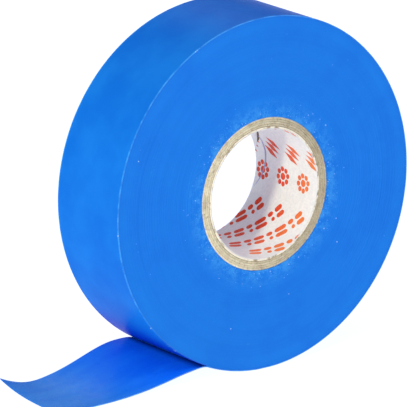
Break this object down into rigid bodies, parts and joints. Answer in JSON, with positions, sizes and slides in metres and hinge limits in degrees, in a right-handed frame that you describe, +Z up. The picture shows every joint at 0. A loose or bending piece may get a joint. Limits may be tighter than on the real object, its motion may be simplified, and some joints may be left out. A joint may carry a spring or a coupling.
{
  "type": "electrical tape roll",
  "caption": "Roll of glossy blue PVC insulating tape on a wound card core with a printed paper liner, standing on its rim, its free end peeled away and lying on the surface below.",
  "frame": {"origin": "centre of the roll: on its axis, midway between its two side faces", "axes": "+Y runs along the roll's axis from the near side face to the far one, +X points away from the tail, and +Z is up; the roll stands on its rim at the lowest Z"},
  "size_m": [0.0819, 0.019, 0.0684],
  "materials": {
    "liner_paper": "matt white paper printed with small orange-red marks",
    "core_board": "raw kraft board, cut edges showing the plies",
    "wound_tape": "blue PVC tape edges wound tight, satin with fine turn lines and dust",
    "tape_film": "smooth glossy blue PVC film",
    "tape_adhesive": "clear tacky adhesive over blue film"
  },
  "bodies": {
    "roll": {"core_liner": "liner_paper", "core_ply_1": "core_board", "core_ply_2": "core_board", "core_ply_3": "core_board", "core_ply_4": "core_board", "core_ply_5": "core_board", "tape_pack": "wound_tape"},
    "peel_line": {"tail_root_film": "tape_film", "tail_root_adhesive": "tape_adhesive"},
    "tail_1": {"tail_1_film": "tape_film", "tail_1_adhesive": "tape_adhesive"},
    "tail_2": {"tail_2_film": "tape_film", "tail_2_adhesive": "tape_adhesive"},
    "tail_3": {"tail_3_film": "tape_film", "tail_3_adhesive": "tape_adhesive"}
  },
  "joints": [
    {"name": "unwind", "type": "hinge", "parent": "roll", "child": "peel_line", "pos_m": [0, 0, 0], "axis": [0, 1, 0], "continuous": true},
    {"name": "peel", "type": "hinge", "parent": "peel_line", "child": "tail_1", "pos_m": [-0.01682, 0, -0.03051], "axis": [-0.1664, 0.9811, 0.0985], "range_deg": [-110, 20], "stiffness_Nm_per_rad": 0.000025},
    {"name": "bend_1", "type": "hinge", "parent": "tail_1", "child": "tail_2", "pos_m": [-0.02708, 0, -0.03209], "axis": [-0.1145, 0.9876, 0.1069], "range_deg": [-45, 30], "stiffness_Nm_per_rad": 0.000025},
    {"name": "bend_2", "type": "hinge", "parent": "tail_2", "child": "tail_3", "pos_m": [-0.03735, 0, -0.03388], "axis": [-0.0498, 0.9985, 0.0205], "range_deg": [-45, 45], "stiffness_Nm_per_rad": 0.000025}
  ]
}
